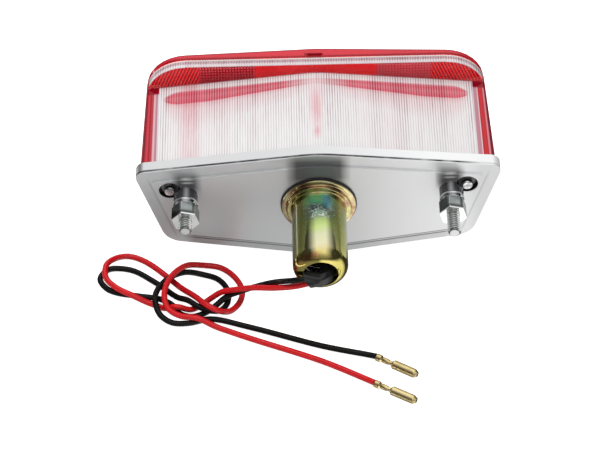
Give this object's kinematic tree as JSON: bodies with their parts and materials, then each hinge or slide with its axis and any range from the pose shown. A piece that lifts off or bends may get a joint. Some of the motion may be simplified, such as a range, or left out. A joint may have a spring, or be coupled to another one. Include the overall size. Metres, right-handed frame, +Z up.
{
  "type": "motorcycle tail light",
  "caption": "Rectangular motorcycle tail light: alloy base on two threaded studs, red lens with clear number-plate window, bayonet bulb holder and wires with bullet terminals.",
  "frame": {"origin": "bottom centre of the lamp as it lies on its top side, without its wires", "axes": "+X along the lamp, +Y from the bulb holder's mouth to the lens front, +Z up from the table, to the window side"},
  "size_m": [0.1415, 0.1198, 0.0531],
  "materials": {
    "cast_alloy": "fine shot-blasted casting under clear lacquer",
    "seal_rubber": "soft black rubber",
    "red_plastic": "moulded transparent red plastic",
    "clear_plastic": "moulded clear plastic with fine reeds",
    "stud_steel": "zinc-plated steel with rolled thread",
    "washer_steel": "dull zinc-plated steel",
    "nut_steel": "bright zinc-plated steel",
    "screw_steel": "bright plated steel",
    "passivated_steel": "zinc-plated steel with yellow-green passivation",
    "plated_steel": "yellow-passivated zinc plate",
    "brown_fibre": "brown fibre board",
    "brass": "bright brass with light handling marks",
    "spring_steel": "plain spring wire",
    "bulb_brass": "nickel-washed brass",
    "solder": "soft solder",
    "bulb_glass": "clear glass",
    "filament_metal": "drawn wire",
    "black_sleeve": "soft black PVC sleeve",
    "red_insulation": "red PVC insulation",
    "black_insulation": "black PVC insulation"
  },
  "bodies": {
    "base": {"base_casting": "cast_alloy", "lens_seal": "seal_rubber", "mounting_stud_left": "stud_steel", "mounting_stud_right": "stud_steel", "holder_gasket": "seal_rubber", "holder_shell": "passivated_steel", "bayonet_barrel": "plated_steel", "contact_spring": "spring_steel", "wire_sleeve": "black_sleeve", "wire_red": "red_insulation", "wire_black": "black_insulation", "bullet_red": "brass", "bullet_black": "brass"},
    "lens": {"red_lens": "red_plastic", "clear_window": "clear_plastic"},
    "screw_left": {"lens_screw_left": "screw_steel", "screw_washer_left": "seal_rubber"},
    "screw_right": {"lens_screw_right": "screw_steel", "screw_washer_right": "seal_rubber"},
    "nut_left": {"mounting_nut_left": "nut_steel", "spring_washer_left": "washer_steel", "flat_washer_left": "washer_steel"},
    "nut_right": {"mounting_nut_right": "nut_steel", "spring_washer_right": "washer_steel", "flat_washer_right": "washer_steel"},
    "contact": {"contact_disc": "brown_fibre", "contact_tips": "brass"},
    "bulb": {"bulb_cap": "bulb_brass", "bulb_pins": "bulb_brass", "bulb_contacts": "solder", "bulb_glass": "bulb_glass", "bulb_filaments": "filament_metal"}
  },
  "joints": [
    {"name": "lens_off", "type": "slide", "parent": "base", "child": "lens", "axis": [0, 1, 0], "range_m": [0, 0.06]},
    {"name": "screw_left_out", "type": "slide", "parent": "lens", "child": "screw_left", "axis": [0, 1, 0], "range_m": [0, 0.012]},
    {"name": "screw_right_out", "type": "slide", "parent": "lens", "child": "screw_right", "axis": [0, 1, 0], "range_m": [0, 0.012]},
    {"name": "nut_left_off", "type": "slide", "parent": "base", "child": "nut_left", "axis": [0, -1, 0], "range_m": [0, 0.018]},
    {"name": "nut_right_off", "type": "slide", "parent": "base", "child": "nut_right", "axis": [0, -1, 0], "range_m": [0, 0.018]},
    {"name": "contact_push", "type": "slide", "parent": "base", "child": "contact", "axis": [0, -1, 0], "range_m": [0, 0.002], "stiffness_N_per_m": 1500, "deforming": ["contact_spring"]},
    {"name": "bulb_twist", "type": "hinge", "parent": "contact", "child": "bulb", "pos_m": [0, 0, 0.0275], "axis": [0, 1, 0], "range_deg": [0, 20]}
  ]
}
